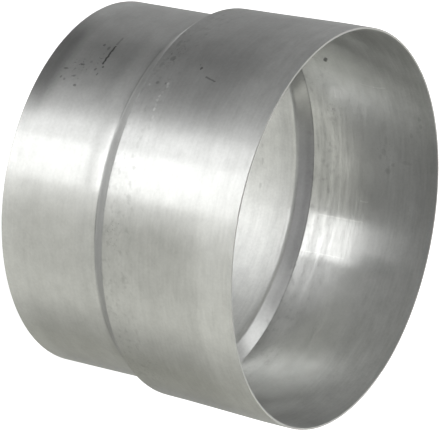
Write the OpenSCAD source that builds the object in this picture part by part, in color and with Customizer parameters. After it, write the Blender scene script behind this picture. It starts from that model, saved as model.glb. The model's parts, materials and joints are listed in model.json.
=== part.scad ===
// Flue liner reducer: one tube of formed sheet. A wide socket at the top steps in to a
// narrower spigot at the bottom, over a shoulder that keeps the sheet's thickness. The
// reducer stands on the spigot's cut end, with the tube's axis on Z.

/* [Sheet] */
// Thickness of the sheet
sheet_t = 0.8; // [0.5:0.1:1.2]
// Radius of the deburred corners at both cut ends
deburr_r = 0.15; // [0.05:0.01:0.2]

/* [Length] */
// Length along the axis, from the mouth to the spigot's end
overall_len = 110; // [95:1:200]

/* [Socket] */
// Outside diameter at the mouth
socket_od = 160; // [100:1:300]
// Length from the mouth to the start of the shoulder
socket_len = 59; // [30:1:75]
// Length of the parallel lead at the mouth
lead_len = 14; // [4:1:25]
// How much diameter the socket loses between its lead and the shoulder
draw_in = 1.3; // [0.4:0.1:3]

/* [Spigot] */
// How much smaller the spigot's outside diameter is than the mouth's
reduction = 10; // [8:0.5:40]

/* [Shoulder] */
// Angle between the shoulder's cone and the axis
shoulder_angle = 38; // [30:1:60]
// Radius in the bore of the tight bend at the socket's end of the cone
socket_bend_r = 0.3; // [0.1:0.1:1.5]
// Radius on the outer face of the softer bend at the spigot's end of the cone
spigot_bend_r = 2.4; // [0.5:0.1:3]

/* [Hidden] */

// Facets around the tube, and points along each bend and each deburred corner
$fn = 240;
bend_steps = 8;
deburr_steps = 3;

// A lean is the angle of the wall from the axis: 0 is upright, and above 0 the tube
// closes in on the way down. The unit normal of a leaning wall points out of the tube.
upright = 0;
quarter_turn = 90;
function normal(lean) = [cos(lean), -sin(lean)];

// Points on an arc, where it turns from one normal to another. A radius below 0 puts the
// arc on the side of its centre that is nearer the axis.
function arc(centre, r, from_lean, to_lean, steps) = [
    for (i = [0:steps])
        centre + r * normal(from_lean + (to_lean - from_lean) * i / steps)
];

function backwards(path) = [for (i = [len(path) - 1:-1:0]) path[i]];

mouth_r = socket_od / 2;
neck_r = mouth_r - draw_in / 2;
spigot_r = mouth_r - reduction / 2;
draw_lean = atan((mouth_r - neck_r) / (socket_len - lead_len));

// The outer face on the way down: foot of the lead, neck, then the shoulder's cone. The
// socket's bend turns about a centre inside the tube, so the outer face is its long side.
// The spigot's bend turns about a centre outside the tube, so there it is the short side.
lead_foot = [mouth_r, overall_len - lead_len];
neck = [neck_r, overall_len - socket_len];
socket_bend_outer_r = socket_bend_r + sheet_t;
socket_bend_centre = neck - socket_bend_outer_r * normal(draw_lean);
cone_top = socket_bend_centre + socket_bend_outer_r * normal(shoulder_angle);
spigot_bend_centre_r = spigot_r + spigot_bend_r;
cone_foot_r = spigot_bend_centre_r - spigot_bend_r * cos(shoulder_angle);
cone_drop = (cone_top.x - cone_foot_r) / tan(shoulder_angle);
spigot_head_z = cone_top.y - cone_drop - spigot_bend_r * sin(shoulder_angle);
spigot_bend_centre = [spigot_bend_centre_r, spigot_head_z];

// The wall's face at a depth in the sheet, from the lead's foot down to the spigot: the
// outer face at 0, and the bore at the full thickness
function face(depth) = concat(
    [lead_foot - [depth, 0]],
    arc(socket_bend_centre, socket_bend_outer_r - depth, draw_lean, shoulder_angle, bend_steps),
    arc(spigot_bend_centre, -spigot_bend_r - depth, shoulder_angle, upright, bend_steps)
);

// A quarter turn round one corner of the sheet at a cut end
function deburred(x, y, from_lean) =
    arc([x, y], deburr_r, from_lean, from_lean + quarter_turn, deburr_steps);

spigot_cut = concat(
    deburred(spigot_r - deburr_r, deburr_r, upright),
    deburred(spigot_r - sheet_t + deburr_r, deburr_r, quarter_turn)
);
mouth_cut = concat(
    deburred(mouth_r - sheet_t + deburr_r, overall_len - deburr_r, 2 * quarter_turn),
    deburred(mouth_r - deburr_r, overall_len - deburr_r, 3 * quarter_turn)
);

module reducer_shell() {
    color([0.74, 0.75, 0.74])
        rotate_extrude()
            polygon(concat(face(0), spigot_cut, backwards(face(sheet_t)), mouth_cut));
}

reducer_shell();
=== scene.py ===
"""Dresses the flue liner reducer: one tube of brushed sheet, formed in to a narrower spigot."""

import json
import math

import bmesh
import bpy
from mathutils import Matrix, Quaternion, Vector


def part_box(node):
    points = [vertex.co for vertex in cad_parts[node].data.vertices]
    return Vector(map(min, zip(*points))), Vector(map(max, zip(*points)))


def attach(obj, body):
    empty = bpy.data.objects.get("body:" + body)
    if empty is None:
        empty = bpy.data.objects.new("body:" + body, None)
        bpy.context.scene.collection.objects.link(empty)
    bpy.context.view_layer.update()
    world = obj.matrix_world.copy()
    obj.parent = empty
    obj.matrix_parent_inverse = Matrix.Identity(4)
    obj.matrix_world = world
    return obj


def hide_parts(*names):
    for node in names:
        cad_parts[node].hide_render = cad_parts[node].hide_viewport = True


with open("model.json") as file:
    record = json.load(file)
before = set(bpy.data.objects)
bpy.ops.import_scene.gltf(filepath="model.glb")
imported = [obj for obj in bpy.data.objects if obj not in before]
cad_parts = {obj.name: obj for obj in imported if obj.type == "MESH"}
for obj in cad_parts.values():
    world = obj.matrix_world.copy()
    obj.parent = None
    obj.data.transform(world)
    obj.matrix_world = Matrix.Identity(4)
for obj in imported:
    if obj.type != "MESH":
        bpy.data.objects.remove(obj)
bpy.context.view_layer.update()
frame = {"record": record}

MM = 0.001

# The tube's section, in metres. The overall sizes and the sheet come from the frame.
low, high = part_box("reducer_shell")
mounts = {mount["name"]: mount for mount in frame["record"]["mounts"]}
LENGTH = high.z - low.z
MOUTH_R = high.x
SPIGOT_R = mounts["spigot"]["dims"]["r_mm"] * MM
SHEET_T = MOUTH_R - mounts["socket"]["dims"]["r_mm"] * MM
LEAD_LEN = 14 * MM
SOCKET_LEN = 59 * MM
DRAW_IN = 0.65 * MM
SHOULDER_ANGLE = math.radians(38)
SOCKET_BEND_R = 0.3 * MM
SPIGOT_BEND_R = 2.4 * MM
DEBURR_R = 0.15 * MM

# Where the mouth was pushed out of round: each bulge's middle, reach and softness in degrees, and how far
MOUTH_BULGES = (
    (8, 68, 28, 0.7 * MM),
    (165, 45, 30, 0.3 * MM),
)

# How finely the tube is meshed
AROUND = 240
BEND_SEGMENTS = 8
DEBURR_SEGMENTS = 3
RING_PITCH = 4 * MM
SUPPORT_GAPS = (0.3 * MM, 1.0 * MM)

# The tube's finishes, in the order of its material slots
OUTSIDE, INSIDE, CUT = range(3)
SHEET_COLOUR = (0.545, 0.55, 0.54)

# The camera stands above the mouth and is rolled, so that the tube's axis runs across the picture
CAMERA_AIM = Vector((4.104, -0.015, 54.869)) * MM
CAMERA_DISTANCE = 1272.24 * MM
CAMERA_AZIMUTH = math.radians(-0.215)
CAMERA_ELEVATION = math.radians(30.659)
CAMERA_ROLL = math.radians(101.698)
CAMERA_LENS = 258.615


# Shader maths

class Field:
    """A socket that is used as a number: arithmetic on it adds Math nodes."""

    def __init__(self, tree, socket):
        self.tree = tree
        self.socket = socket

    def math(self, operation, *others):
        return self.tree.node("ShaderNodeMath", {"operation": operation}, dict(enumerate((self, *others))))

    def __add__(self, other):
        return self.math("ADD", other)

    def __sub__(self, other):
        return self.math("SUBTRACT", other)

    def __mul__(self, other):
        return self.math("MULTIPLY", other)

    def __truediv__(self, other):
        return self.math("DIVIDE", other)

    def __rsub__(self, other):
        return (self * -1) + other

    __radd__ = __add__
    __rmul__ = __mul__

    def square(self):
        return self * self

    def clamp(self):
        return self.tree.node("ShaderNodeClamp", inputs={"Value": self})

    def highest(self, other):
        return self.math("MAXIMUM", other)

    def ramp_between(self, start, end, low=0.0, high=1.0):
        """Low up to start, high from end on, and smooth between them."""
        sockets = {"Value": self, "From Min": start, "From Max": end, "To Min": low, "To Max": high}
        return self.tree.node("ShaderNodeMapRange", {"interpolation_type": "SMOOTHSTEP"}, sockets, "Result")

    def within(self, middle, reach, softness):
        """1 within reach of the middle, and 0 past a soft edge of twice the softness."""
        return (self - middle).math("ABSOLUTE").ramp_between(reach - softness, reach + softness, 1.0, 0.0)

    def tinted(self, colour):
        """This number as the strength of a colour."""
        made = self.tree.node("ShaderNodeVectorMath", {"operation": "SCALE"}, {"Vector": colour, "Scale": self})
        return Colour(self.tree, made.socket)


class Colour(Field):
    """A socket that is used as a colour: colours add up through Vector Math."""

    def __add__(self, other):
        made = self.tree.node("ShaderNodeVectorMath", {"operation": "ADD"}, {0: self, 1: other})
        return Colour(self.tree, made.socket)


class Tree:
    """The nodes of one material or of the world."""

    def __init__(self, owner):
        owner.use_nodes = True
        self.nodes = owner.node_tree.nodes
        self.links = owner.node_tree.links
        self.nodes.clear()

    def node(self, kind, settings=None, inputs=None, output=0):
        """Adds a node: its settings first, then the value of each socket or what is linked to it."""
        made = self.nodes.new(kind)
        for name, value in (settings or {}).items():
            setattr(made, name, value)
        for name, value in (inputs or {}).items():
            if isinstance(value, Field):
                self.links.new(value.socket, made.inputs[name])
            else:
                made.inputs[name].default_value = value
        return Field(self, made.outputs[output]) if made.outputs else None

    def noise(self, place, scale, detail=2.0, distortion=0.0):
        """Noise about 0, from about -1 to 1, with its own number of spots to the metre on each axis."""
        spread = self.node("ShaderNodeMapping", inputs={"Vector": place, "Scale": scale})
        sockets = {"Vector": spread, "Scale": 1.0, "Detail": detail, "Distortion": distortion}
        return self.node("ShaderNodeTexNoise", inputs=sockets) * 2 - 1


def new_material(name):
    material = bpy.data.materials.new(name)
    return material, Tree(material)


# Finishes

class Wall:
    """One face of the tube's wall, with places on it by degrees round the axis and height in mm."""

    def __init__(self, tree, radius_mm):
        self.tree = tree
        self.place = tree.node("ShaderNodeTexCoord", output="Object")
        x = tree.node("ShaderNodeSeparateXYZ", inputs={"Vector": self.place}, output="X")
        y = tree.node("ShaderNodeSeparateXYZ", inputs={"Vector": self.place}, output="Y")
        z = tree.node("ShaderNodeSeparateXYZ", inputs={"Vector": self.place}, output="Z")
        self.degrees = y.math("ARCTAN2", x) * math.degrees(1)
        self.height = z * 1000
        self.mm_a_degree = math.radians(1) * radius_mm
        # marks are drawn on a place that wanders a little, so that none has a ruled edge
        wander = tree.noise(self.place, (900, 900, 900))
        drift = tree.noise(self.place, (240, 240, 240))
        self.marked_degrees = self.degrees + (wander * 0.5 + drift * 0.35) / self.mm_a_degree
        self.marked_height = self.height + wander * 0.45 - drift * 0.3
        self.pits = tree.noise(self.place, (1100, 1100, 1100), 1.0)

    def spot(self, degrees, height, half_arc, half_height, strength):
        """A soft speck or smudge, of the given size in mm each way from its middle."""
        across = (self.marked_degrees - degrees) * (self.mm_a_degree / half_arc)
        along = (self.marked_height - height) * (1 / half_height)
        return (across.square() + along.square()).ramp_between(0.25, 1.3, strength, 0.0)

    def scratch(self, start, end, width, strength):
        """A straight scratch between two places, each in degrees and mm."""
        run = Vector(((end[0] - start[0]) * self.mm_a_degree, end[1] - start[1]))
        across = (self.marked_degrees - start[0]) * self.mm_a_degree
        along = self.marked_height - start[1]
        share = ((across * run.x + along * run.y) * (1 / run.length_squared)).clamp()
        off = (across - share * run.x).square() + (along - share * run.y).square()
        return off.ramp_between((width * 0.2) ** 2, (width * 0.65) ** 2, strength, 0.0)

    def pitting(self, degrees, height, half_arc, half_height, strength):
        """A patch of tiny dark pits, of the given size in mm each way, thinning out at its edge."""
        across = (self.degrees - degrees) * (self.mm_a_degree / half_arc)
        along = (self.height - height) * (1 / half_height)
        thick = (across.square() + along.square()).ramp_between(0.1, 1.4, 1.0, 0.0)
        return (self.pits + thick * 0.5).ramp_between(0.7, 0.9, 0.0, strength)

    def band(self, height, reach, softness, degrees, reach_degrees, soft_degrees):
        """A band round part of the tube, used to paint light and shade on the sheet."""
        return self.height.within(height, reach, softness) * self.degrees.within(degrees, reach_degrees, soft_degrees)


def total(fields):
    """The sum of several fields."""
    fields = list(fields)
    while len(fields) > 1:
        fields = [a + b for a, b in zip(fields[::2], fields[1::2])] + fields[len(fields) // 2 * 2:]
    return fields[0]


# How much darker the specks are than first judged
SPECK_DEPTH = 1.5


def outside_marks_and_painted_shading(wall):
    """Dark and light marks of forming and handling on the outer face, and bands of painted shade, painted reflection
    and painted highlight.
    """
    specks = (
        (-133.3, 22.2, 1.3, 0.8, 0.18),
        (-134.3, 19.4, 0.9, 0.7, 0.22),
        (-126.6, 19.1, 0.9, 0.7, 0.12),
        (-125.0, 16.0, 0.6, 1.2, 0.22),
        (-124.1, 22.9, 0.8, 0.6, 0.22),
        (-120.3, 15.5, 0.7, 0.6, 0.20),
        (-117.3, 18.0, 0.8, 0.8, 0.30),
        (-118.6, 11.9, 0.8, 0.6, 0.18),
        (-122.5, 10.0, 0.6, 1.2, 0.20),
        (-119.3, 10.0, 0.7, 0.6, 0.18),
        (-125.4, 25.5, 0.7, 0.4, 0.28),
        (-122.5, 24.9, 0.8, 0.4, 0.22),
        (-128.6, 70.6, 1.0, 0.6, 0.40),
        (-129.8, 69.2, 0.5, 0.4, 0.20),
        (-121.4, 59.6, 0.6, 0.5, 0.22),
        (-121.2, 55.9, 0.9, 0.7, 0.22),
        (-130.5, 56.0, 1.6, 1.2, 0.20),
        (-137.0, 53.4, 2.4, 0.9, 0.14),
        (-127.5, 53.0, 1.8, 0.8, 0.12),
    )
    dark = [wall.spot(*place_and_size, strength * SPECK_DEPTH) for *place_and_size, strength in specks]
    dark += [
        wall.pitting(-123.5, 15.5, 9.0, 6.0, 0.3),
        wall.pitting(-128.0, 23.0, 6.0, 3.5, 0.2),
        wall.pitting(-133.0, 56.0, 15.0, 4.5, 0.3),
        wall.pitting(-76.0, 55.5, 9.0, 4.5, 0.26),
        wall.pitting(-30.0, 63.0, 14.0, 9.0, 0.2),
        wall.scratch((-134.6, 24.4), (-126.6, 24.7), 0.8, 0.54),
        wall.scratch((-138.8, 24.3), (-135.5, 24.4), 0.9, 0.22),
        wall.scratch((-124.8, 79.7), (-125.8, 74.8), 0.8, 0.44),
        wall.scratch((-80.0, 55.4), (-75.5, 51.7), 1.0, 0.08),
        # painted shade: the dark reflection across the spigot's end
        wall.band(3.0, 5.5, 4.0, -126, 18, 10) * 0.57,
        # painted shade: deepens the dark reflection on the spigot
        wall.band(24.0, 15.0, 7.0, -130, 9, 7) * 0.24,
        # painted shade all round the crease
        wall.height.within(38.5, 2.5, 2.5) * 0.06,
        # painted shade: the dim gap in the reflection beside the highlight
        wall.band(75.0, 28.0, 12.0, -77, 3.5, 3.5) * 0.06,
        # painted shadow: a dark line along the foot of the shoulder's bend
        wall.band(44.5, 0.35, 0.3, -123, 14, 4) * 0.24,
        wall.band(44.5, 0.35, 0.3, -80, 7, 3) * 0.22,
    ]
    ticks = (
        (-121.3, 60.8, 0.34),
        (-120.3, 61.1, 0.26),
        (-118.4, 60.3, 0.14),
        (-117.0, 59.9, 0.30),
        (-115.7, 59.8, 0.24),
        (-113.9, 60.2, 0.12),
        (-112.6, 60.3, 0.30),
        (-110.3, 61.2, 0.14),
    )
    light = [wall.spot(degrees, height, 0.8, 0.6, strength) for degrees, height, strength in ticks]
    light += [
        wall.spot(-120.0, 53.1, 0.5, 0.5, 0.24),
        # painted highlight along the neck's bend
        wall.band(43.4, 0.7, 0.5, -95, 11, 5) * 0.10,
        # painted light: a lighter reflection beside the highlight near the mouth
        wall.band(101.0, 8.0, 6.0, -72, 30, 20) * 0.10,
        # painted highlight: a lighter strip along the socket's outline edge
        wall.band(80.0, 12.0, 8.0, -173, 6, 5) * 0.20,
    ]
    return total(dark), total(light)


def inside_marks_and_painted_shading(wall):
    """The fewer marks on the bore's face, and bands of painted shade and painted light."""
    smudges = (
        (116.4, 84.6, 1.8, 1.3, 0.15),
        (110.6, 86.5, 1.5, 1.3, 0.18),
        (112.8, 88.9, 0.9, 0.8, 0.16),
        (114.6, 82.7, 1.3, 0.9, 0.12),
        (120.5, 85.8, 2.4, 0.8, 0.10),
        (114.1, 95.5, 0.9, 3.2, 0.10),
        (123.4, 98.0, 1.3, 0.9, 0.14),
        (129.6, 102.8, 1.3, 0.8, 0.18),
        (127.2, 103.0, 1.3, 0.8, 0.15),
        (115.1, 61.1, 1.3, 1.0, 0.12),
        (123.1, 60.8, 1.1, 0.9, 0.14),
    )
    dark = [wall.spot(*place_and_size) for place_and_size in smudges]
    dark += [
        wall.pitting(116.0, 85.0, 12.0, 8.0, 0.14),
        wall.pitting(128.0, 62.0, 8.0, 6.0, 0.2),
        wall.scratch((148.1, 64.6), (149.1, 65.5), 1.6, 0.66),
        wall.spot(128.0, 62.0, 1.0, 0.9, 0.18),
        wall.spot(99.0, 28.0, 1.6, 0.7, 0.14),
        wall.spot(107.0, 28.2, 2.0, 0.6, 0.12),
        wall.spot(112.5, 27.8, 1.2, 0.6, 0.12),
        # painted shadow: a dark line along the inner bend at the shoulder
        wall.band(50.9, 0.3, 0.25, 110, 60, 10) * 0.20,
        # painted shade across the inner face of the shoulder
        wall.band(49.3, 1.0, 0.8, 92, 32, 10) * 0.13,
        # painted shade: dims the highlight at the spigot's inner bend
        wall.band(43.6, 1.0, 0.8, 86, 9, 6) * 0.25,
        # painted shade: sharpens the edge of the bright reflection in the bore
        wall.band(87.0, 9.0, 6.0, 81, 2.5, 2) * 0.2,
        # painted shade beside the bright reflection in the bore
        wall.band(70.0, 14.0, 6.0, 101, 6, 5) * 0.15,
        # painted shade: dims the bright reflection in the bore
        wall.band(58.5, 5.5, 4.0, 86, 8, 4) * 0.08,
        # painted shade: darker towards the mouth
        wall.height.ramp_between(97, 107, 0.0, 0.08),
        # painted shade at the two sides of the bore near the mouth
        wall.band(102.0, 9.0, 6.0, 18, 16, 8) * 0.10,
        wall.band(102.0, 9.0, 6.0, 165, 15, 8) * 0.12,
    ]
    light = [
        wall.scratch((139.6, 89.4), (139.2, 84.0), 0.55, 0.16),
        wall.scratch((139.2, 84.0), (139.8, 78.1), 0.55, 0.12),
        wall.scratch((99.8, 78.0), (99.7, 74.6), 0.55, 0.26),
        wall.spot(134.5, 66.0, 4.2, 5.0, 0.18),
        # painted light in the spigot's bore
        wall.band(37.0, 7.0, 5.0, 70, 14, 12) * 0.15,
        # painted light inside the shoulder
        wall.band(57.5, 4.5, 4.0, 52, 7, 6) * 0.2,
        # painted light on the far wall of the bore below the mouth
        wall.band(84.0, 4.0, 5.0, 20, 7, 6) * 0.12,
        wall.band(84.0, 10.0, 8.0, 117, 7, 6) * 0.12,
        wall.band(85.0, 4.0, 5.0, 159, 8, 6) * 0.14,
        wall.scratch((132.9, 66.8), (135.7, 66.9), 0.4, 0.2),
        wall.scratch((132.6, 64.2), (135.9, 64.1), 0.4, 0.2),
        # painted highlights: two light lines along the edges of the bright reflection in the bore
        wall.scratch((93.4, 77.0), (93.2, 56.0), 0.6, 0.16),
        wall.scratch((81.3, 72.0), (81.3, 54.0), 0.5, 0.18),
    ]
    return total(dark), total(light)


class Finish:
    """How one face of the sheet is finished, with the shares that are left bright or worn soft, and how much lighter
    its spigot is painted as painted light.
    """

    def __init__(self, roughness, grain, brushing, bright_share, spigot_soft_share, side_soft_share, spigot_painted_light):
        self.roughness = roughness
        self.grain = grain
        self.brushing = brushing
        self.bright_share = bright_share
        self.spigot_soft_share = spigot_soft_share
        self.side_soft_share = side_soft_share
        self.spigot_painted_light = spigot_painted_light


# More of the bore is left bright between the brush lines, and its spigot end is worn soft. Each face's spigot is
# painted lighter as painted light, far more in the bore
OUTSIDE_FINISH = Finish(
    roughness=0.29, grain=0.92, brushing=1.8, bright_share=0.04,
    spigot_soft_share=0.24, side_soft_share=0.0, spigot_painted_light=1.05,
)
INSIDE_FINISH = Finish(
    roughness=0.295, grain=0.97, brushing=2.4, bright_share=0.28,
    spigot_soft_share=0.92, side_soft_share=0.5, spigot_painted_light=1.33,
)


def brushed_sheet(name, marks, finish):
    """Dull steel sheet, finely brushed round the tube, with the marks and the painted light and shade of one of its
    faces.

    Three finishes are mixed: the dull brush lines, the bright sheet left between them, and
    the sheet that forming has worn soft, at the spigot, its bend and the mouth's lead.
    """
    material, tree = new_material(name)
    wall = Wall(tree, MOUTH_R / MM)
    brush = tree.noise(wall.place, (100, 100, 900), 2.0)
    streaks = tree.noise(wall.place, (12, 12, 260), 1.0)
    blotches = tree.noise(wall.place, (150, 150, 170), 2.0)
    clouds = tree.noise(wall.place, (50, 50, 34), 2.0)
    grain = tree.noise(wall.place, (900, 900, 900), 1.0)
    waves = tree.noise(wall.place, (60, 60, 40), 0.0)
    mottles = tree.noise(wall.place, (330, 330, 420), 2.0).ramp_between(0.02, 0.5)
    spigot = wall.height.ramp_between(41, 48, 1, 0)
    crease = wall.height.within(38.5, 2.5, 2.5)
    end = wall.height.ramp_between(4, 12, 1, 0)
    lead = wall.height.ramp_between(82, 104)
    formed = wall.height.within(56.5, 7.5, 2.5)
    side = (1 - wall.degrees.within(90, 64, 8)) * wall.height.ramp_between(84, 94, 1, 0)
    dark, light = marks(wall)
    brushed = (brush * 0.06 + streaks * 0.04) * finish.brushing * (1 - spigot * 0.35)
    shade = brushed + blotches * 0.11 + clouds * 0.08 + grain * 0.08 + 1
    # painted light: the spigot, and more so its end, are painted lighter, a painted sheen that stands in for the
    # light reflected there
    shade = shade * (spigot * (finish.spigot_painted_light - 1) + end * 0.10 + 1)
    shade = shade * (1 - mottles * formed * 0.16)
    shade = shade * (1 - dark.clamp()) + light
    rough = brush * 0.003 + clouds * 0.01 + mottles * formed * 0.03 + dark.clamp() * 0.1 + finish.roughness
    bump = tree.node("ShaderNodeBump", inputs={"Height": waves, "Strength": 1.0, "Distance": 0.012 * MM})
    shared = {
        "Base Color": shade.tinted(SHEET_COLOUR),
        "Metallic": 1.0,
        "Anisotropic Rotation": 0.25,
        "Normal": bump,
    }
    dull = tree.node("ShaderNodeBsdfPrincipled", inputs={**shared, "Roughness": rough, "Anisotropic": finish.grain})
    bright = tree.node("ShaderNodeBsdfPrincipled", inputs={**shared, "Roughness": 0.12, "Anisotropic": 0.8})
    soft = tree.node("ShaderNodeBsdfPrincipled", inputs={**shared, "Roughness": 0.55, "Anisotropic": 0.2})
    bright_share = (brush * 0.6 + streaks * 0.6 + 1) * wall.height.ramp_between(72, 90, finish.bright_share, 0.03)
    soft_share = spigot * finish.spigot_soft_share + crease * 0.3 + lead * 0.6 + end * 0.15 + side * finish.side_soft_share
    sheet = tree.node("ShaderNodeMixShader", inputs={0: bright_share.clamp(), 1: dull, 2: bright})
    worn = tree.node("ShaderNodeMixShader", inputs={0: soft_share.clamp(), 1: sheet, 2: soft})
    tree.node("ShaderNodeOutputMaterial", inputs={"Surface": worn})
    return material


def cut_edge():
    """The sheared and deburred edge of the sheet, brighter than its faces."""
    material, tree = new_material("cut_edge")
    place = tree.node("ShaderNodeTexCoord", output="Object")
    nicks = tree.noise(place, (500, 500, 500), 2.0)
    bump = tree.node("ShaderNodeBump", inputs={"Height": nicks, "Strength": 0.5, "Distance": 0.02 * MM})
    shader = tree.node(
        "ShaderNodeBsdfPrincipled",
        inputs={
            "Base Color": (nicks * 0.08 + 1).tinted((0.5, 0.5, 0.49)),
            "Metallic": 1.0,
            "Roughness": nicks * 0.08 + 0.48,
            "Normal": bump,
        },
    )
    tree.node("ShaderNodeOutputMaterial", inputs={"Surface": shader})
    return material


# The tube

def bend_setback(radius, turn):
    """How far from the sharp corner a bend of this radius starts."""
    return radius * math.tan(turn / 2)


def ring_edges(bm, height, reach=1e-6):
    return [e for e in bm.edges if all(abs(v.co.z - height) < reach for v in e.verts)]


def add_ring(bm, height):
    bmesh.ops.bisect_plane(bm, geom=bm.verts[:] + bm.edges[:] + bm.faces[:], plane_co=(0, 0, height),
                           plane_no=(0, 0, 1), dist=1e-7)


def eased(share):
    """A smooth rise from 0 to 1 as the share does."""
    share = min(max(share, 0), 1)
    return share * share * (3 - 2 * share)


def push_out_of_round(bm):
    """Pushes the mouth outwards at its bulges, less and less towards the shoulder."""
    for vert in bm.verts:
        place = math.degrees(math.atan2(vert.co.y, vert.co.x))
        along = eased((vert.co.z - LENGTH + SOCKET_LEN) / SOCKET_LEN)
        push = 0
        for middle, reach, softness, height in MOUTH_BULGES:
            off = abs((place - middle + 180) % 360 - 180)
            push += height * along * (1 - eased((off - reach + softness) / (2 * softness)))
        vert.co.xy *= 1 + push / vert.co.xy.length


def outer_skin():
    """The outer face of the tube, spun from the corners of its section and bent at two of them."""
    lean = math.atan(DRAW_IN / (SOCKET_LEN - LEAD_LEN))
    socket_setback = bend_setback(SOCKET_BEND_R + SHEET_T, SHOULDER_ANGLE - lean)
    spigot_setback = bend_setback(SPIGOT_BEND_R, SHOULDER_ANGLE)
    neck_z = LENGTH - SOCKET_LEN
    head_r = MOUTH_R - DRAW_IN - socket_setback * math.sin(lean)
    head_z = neck_z - socket_setback * math.cos(lean)
    foot_z = head_z - (head_r - SPIGOT_R) / math.tan(SHOULDER_ANGLE)
    lead_z = LENGTH - LEAD_LEN
    corners = [(SPIGOT_R, 0), (SPIGOT_R, foot_z), (head_r, head_z), (MOUTH_R, lead_z), (MOUTH_R, LENGTH)]

    bm = bmesh.new()
    verts = [bm.verts.new((r, 0, z)) for r, z in corners]
    edges = [bm.edges.new(pair) for pair in zip(verts, verts[1:])]
    bmesh.ops.spin(bm, geom=verts + edges, cent=(0, 0, 0), axis=(0, 0, 1), angle=math.tau,
                   steps=AROUND, use_merge=True)
    bmesh.ops.remove_doubles(bm, verts=bm.verts[:], dist=1e-7)
    for height, setback in ((head_z, socket_setback), (foot_z, spigot_setback)):
        bmesh.ops.bevel(bm, geom=ring_edges(bm, height), offset=setback, offset_type="OFFSET",
                        segments=BEND_SEGMENTS, profile=0.5, affect="EDGES", material=-1)
    bends = (foot_z - spigot_setback, head_z + socket_setback)
    heights = [RING_PITCH * i for i in range(1, int(LENGTH / RING_PITCH) + 1)]
    heights = [z for z in heights if z < LENGTH - RING_PITCH / 2 and not bends[0] - RING_PITCH / 4 < z < bends[1]]
    for gap in SUPPORT_GAPS:
        heights += [bends[0] - gap, bends[1] + gap, gap + DEBURR_R, LENGTH - gap - DEBURR_R]
    for height in sorted(heights):
        add_ring(bm, height)
    push_out_of_round(bm)
    bmesh.ops.recalc_face_normals(bm, faces=bm.faces[:])
    return bm


def reducer_shell():
    """The whole tube: the outer skin given the sheet's thickness, with its cut ends deburred."""
    bm = outer_skin()
    bmesh.ops.solidify(bm, geom=bm.faces[:], thickness=SHEET_T)
    ends = ring_edges(bm, 0) + ring_edges(bm, LENGTH)
    rims = [e for e in ends if abs(e.verts[0].co.xy.length - e.verts[1].co.xy.length) < 1e-6]
    bmesh.ops.bevel(bm, geom=rims, offset=DEBURR_R, offset_type="OFFSET", segments=DEBURR_SEGMENTS,
                    profile=0.5, affect="EDGES", material=-1)
    for face in bm.faces:
        face.smooth = True
        middle = face.calc_center_median()
        if middle.z < DEBURR_R or middle.z > LENGTH - DEBURR_R:
            face.material_index = CUT
        elif face.normal.xy.dot(middle.xy) < 0:
            face.material_index = INSIDE
        else:
            face.material_index = OUTSIDE
    for edge in bm.edges:
        if len({face.material_index for face in edge.link_faces}) > 1:
            edge.smooth = False
    mesh = bpy.data.meshes.new("reducer_tube")
    bm.to_mesh(mesh)
    bm.free()
    mesh.materials.append(brushed_sheet("brushed_outside", outside_marks_and_painted_shading, OUTSIDE_FINISH))
    mesh.materials.append(brushed_sheet("brushed_inside", inside_marks_and_painted_shading, INSIDE_FINISH))
    mesh.materials.append(cut_edge())
    tube = bpy.data.objects.new("reducer_tube", mesh)
    bpy.context.scene.collection.objects.link(tube)
    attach(tube, "root")
    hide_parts("reducer_shell")
    return tube


# The studio

def pale_floor():
    material, tree = new_material("pale_floor")
    path = tree.node("ShaderNodeLightPath", output="Is Camera Ray")
    paint = tree.node("ShaderNodeBsdfDiffuse", inputs={"Color": (0.9, 0.9, 0.9, 1)})
    glow = tree.node("ShaderNodeEmission", inputs={"Color": (1, 1, 1, 1), "Strength": path * 0.75})
    both = tree.node("ShaderNodeAddShader", inputs={0: paint, 1: glow})
    tree.node("ShaderNodeOutputMaterial", inputs={"Surface": both})
    bm = bmesh.new()
    bmesh.ops.create_grid(bm, x_segments=1, y_segments=1, size=20)
    mesh = bpy.data.meshes.new("floor")
    bm.to_mesh(mesh)
    bm.free()
    mesh.materials.append(material)
    floor = bpy.data.objects.new("floor", mesh)
    bpy.context.scene.collection.objects.link(floor)
    floor.visible_glossy = False
    floor.visible_shadow = False


class SoftPanel:
    """A soft light panel far away: its middle and its half size in degrees, and its colour."""

    def __init__(self, azimuth, half_width, soft_width, elevation, half_height, soft_height, strength, tint):
        self.azimuth = azimuth
        self.half_width = half_width
        self.soft_width = soft_width
        self.elevation = elevation
        self.half_height = half_height
        self.soft_height = soft_height
        self.colour = [strength * part for part in tint]

    def light(self, azimuth, elevation):
        """The panel's colour in each direction."""
        turned = (azimuth - self.azimuth).math("WRAP", 180, -180)
        across = turned.within(0, self.half_width, self.soft_width)
        up = elevation.within(self.elevation, self.half_height, self.soft_height)
        return (across * up).tinted(self.colour)


SANDY = (1.0, 1.0, 0.82)
WARM = (1.0, 1.0, 0.92)
PLAIN = (1.0, 1.0, 1.0)
COOL = (1.0, 0.985, 1.01)

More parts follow.
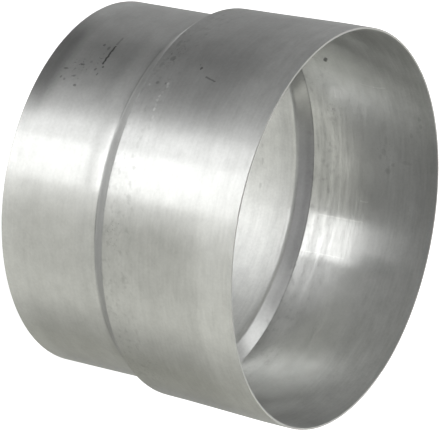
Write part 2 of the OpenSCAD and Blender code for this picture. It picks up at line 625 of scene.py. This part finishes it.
STUDIO_PANELS = (
    # the key panel beside the spigot's end, its glow, and the bright wall above it
    SoftPanel(-96.5, 13, 2.5, -30, 6, 4, 2.1, PLAIN),
    SoftPanel(-103, 6.5, 2.5, -30, 6, 4, 0.35, PLAIN),
    SoftPanel(-108, 24, 20, -29, 8, 5, 1.5, PLAIN),
    SoftPanel(-105, 20, 12, -9, 12, 6, 2.8, PLAIN),
    SoftPanel(-116, 6, 6, -9, 12, 6, 1.9, PLAIN),
    SoftPanel(-78, 9, 9, -9, 12, 6, 1.2, PLAIN),
    SoftPanel(-149, 18, 13, -22, 14, 6, 0.29, PLAIN),
    # the fill, with a dim gap between it and the key
    SoftPanel(-43, 46, 29, -18, 14, 8, 1.5, WARM),
    SoftPanel(34, 18, 14, -22, 14, 8, 0.26, SANDY),
    # the bright table top, and what hangs over it
    SoftPanel(33, 48, 45, 15, 20, 8, 1.8, WARM),
    SoftPanel(161, 34, 44, 34, 22, 8, 2.6, PLAIN),
    SoftPanel(-130, 10, 10, 40, 10, 8, 0.45, PLAIN),
    SoftPanel(-105, 80, 45, 63, 16, 8, 1.1, COOL),
    SoftPanel(-35, 14, 12, 37, 8, 6, 0.2, PLAIN),
    # the room behind and below
    SoftPanel(112, 60, 40, 15, 48, 35, 0.42, PLAIN),
    SoftPanel(95, 26, 12, -54, 15, 5, 1.2, PLAIN),
    SoftPanel(-145, 20, 14, -54, 9, 6, 0.8, PLAIN),
    SoftPanel(8, 18, 12, -53, 6, 5, 0.45, WARM),
    SoftPanel(0, 181, 1, -50, 9, 6, 0.17, PLAIN),
    SoftPanel(0, 181, 1, -90, 28, 12, 0.8, PLAIN),
)
ROOM_LIGHT = 0.05


def studio_surround():
    """The white studio that the camera sees, and the panels that light the sheet."""
    world = bpy.data.worlds.new("studio_surround")
    bpy.context.scene.world = world
    tree = Tree(world)
    direction = tree.node("ShaderNodeTexCoord", output="Generated")
    x = tree.node("ShaderNodeSeparateXYZ", inputs={"Vector": direction}, output="X")
    y = tree.node("ShaderNodeSeparateXYZ", inputs={"Vector": direction}, output="Y")
    z = tree.node("ShaderNodeSeparateXYZ", inputs={"Vector": direction}, output="Z")
    azimuth = y.math("ARCTAN2", x) * math.degrees(1)
    elevation = z.math("MINIMUM", 1).math("MAXIMUM", -1).math("ARCSINE") * math.degrees(1)
    lights = [panel.light(azimuth, elevation) for panel in STUDIO_PANELS]
    room = lights[0] + (ROOM_LIGHT, ROOM_LIGHT, ROOM_LIGHT)
    for light in lights[1:]:
        room = room + light
    seen = tree.node("ShaderNodeLightPath", output="Is Camera Ray")
    through = tree.node("ShaderNodeLightPath", output="Is Transmission Ray")
    surround = tree.node("ShaderNodeBackground", inputs={"Color": room, "Strength": 1.0})
    white = tree.node("ShaderNodeBackground", inputs={"Color": (1, 1, 1, 1), "Strength": 1.0})
    mixed = tree.node("ShaderNodeMixShader", inputs={0: seen.highest(through), 1: surround, 2: white})
    tree.node("ShaderNodeOutputWorld", inputs={"Surface": mixed})


def camera():
    data = bpy.data.cameras.new("camera")
    data.sensor_width = 36
    data.lens = CAMERA_LENS
    back = Vector((
        math.sin(CAMERA_AZIMUTH) * math.cos(CAMERA_ELEVATION),
        -math.cos(CAMERA_AZIMUTH) * math.cos(CAMERA_ELEVATION),
        math.sin(CAMERA_ELEVATION),
    ))
    made = bpy.data.objects.new("camera", data)
    made.rotation_mode = "QUATERNION"
    made.location = CAMERA_AIM + back * CAMERA_DISTANCE
    made.rotation_quaternion = (-back).to_track_quat("-Z", "Y") @ Quaternion((0, 0, 1), CAMERA_ROLL)
    bpy.context.scene.collection.objects.link(made)
    bpy.context.scene.camera = made


bpy.context.scene.view_settings.view_transform = "Standard"
reducer_shell()
pale_floor()
studio_surround()
camera()
